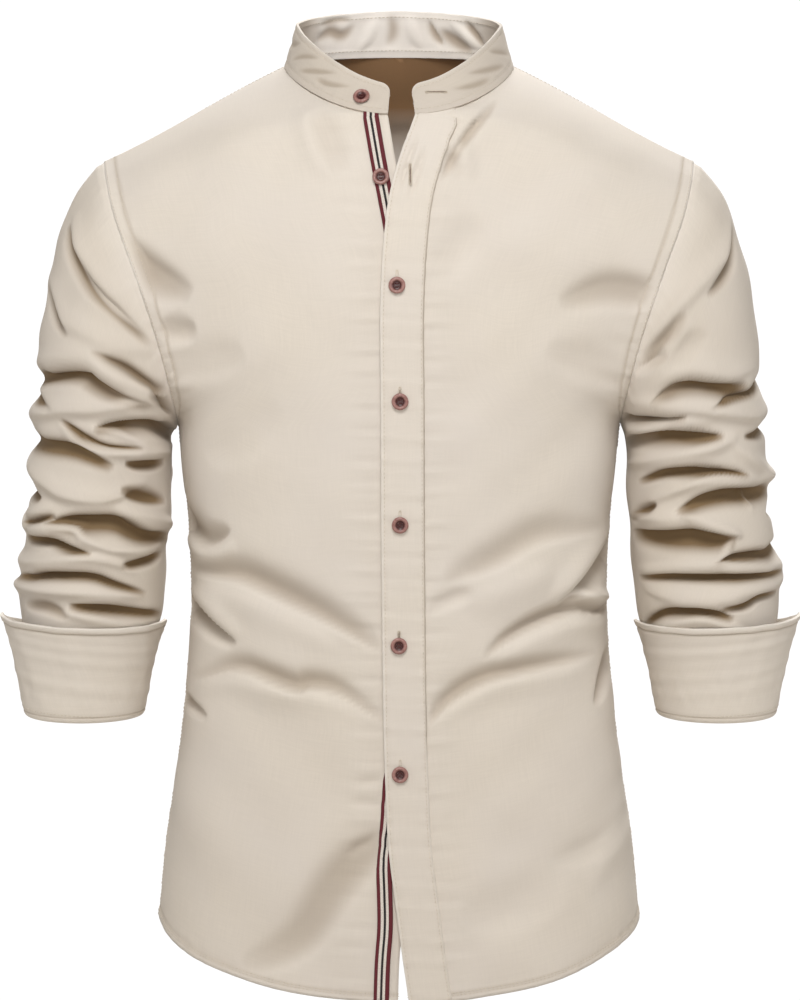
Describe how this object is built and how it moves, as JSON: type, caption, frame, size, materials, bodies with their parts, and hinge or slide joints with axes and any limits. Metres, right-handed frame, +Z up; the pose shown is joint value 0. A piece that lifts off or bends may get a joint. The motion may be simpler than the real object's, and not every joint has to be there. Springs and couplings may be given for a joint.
{
  "type": "long-sleeve shirt with a band collar",
  "caption": "Hollow worn-shape long-sleeve button shirt with a band collar, striped tape under the front edge and turned-back cuffs.",
  "frame": {"origin": "middle of the neck, at the height where the shoulder seams meet the collar, where the wearer carries the shirt", "axes": "+Z up, from hem to collar; the front faces -Y; +X is the wearer's left"},
  "size_m": [0.6334, 0.2453, 0.7614],
  "materials": {
    "shirt_cloth": "matte plain weave cotton, warm stone",
    "tape": "woven tape striped maroon, white and black",
    "button": "satin dusty rose brown"
  },
  "bodies": {
    "root": {"left_front": "shirt_cloth", "right_front": "shirt_cloth", "back": "shirt_cloth", "front_placket": "shirt_cloth", "striped_tape": "tape", "collar_band": "shirt_cloth", "left_sleeve": "shirt_cloth", "right_sleeve": "shirt_cloth", "left_cuff": "shirt_cloth", "right_cuff": "shirt_cloth", "button_1": "button", "button_2": "button", "button_3": "button", "button_4": "button", "button_5": "button", "button_6": "button", "button_7": "button"}
  },
  "joints": []
}
